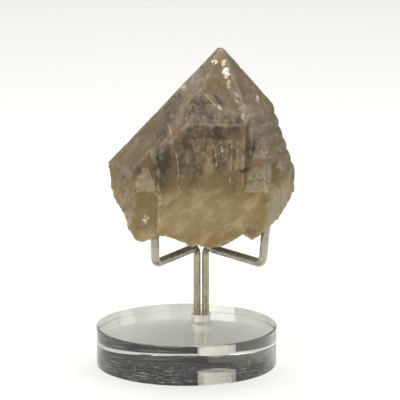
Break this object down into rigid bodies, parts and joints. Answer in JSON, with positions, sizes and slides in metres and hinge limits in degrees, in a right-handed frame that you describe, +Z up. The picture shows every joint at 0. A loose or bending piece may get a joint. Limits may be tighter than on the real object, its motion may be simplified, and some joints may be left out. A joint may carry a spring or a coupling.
{
  "type": "smoky quartz crystal on a display stand",
  "caption": "Pointed smoky quartz crystal with a broken underside, resting in a wire cradle of sleeved prongs that rises from a round clear acrylic base.",
  "frame": {"origin": "centre of the disc's underside", "axes": "+Z up towards the crystal's point, -Y towards the front, where the prongs and the widest faces are, +X to the right seen from the front"},
  "size_m": [0.0549, 0.05, 0.0882],
  "materials": {
    "quartz": "translucent smoky brown, glossy faces, satin broken underside",
    "acrylic": "clear, polished",
    "cement": "cloudy white",
    "wire": "satin",
    "sleeve": "clear, glossy"
  },
  "bodies": {
    "root": {"crystal": "quartz", "base_disc": "acrylic", "seat_cement": "cement", "left_wire": "wire", "right_wire": "wire", "left_sleeve": "sleeve", "right_sleeve": "sleeve"}
  },
  "joints": []
}
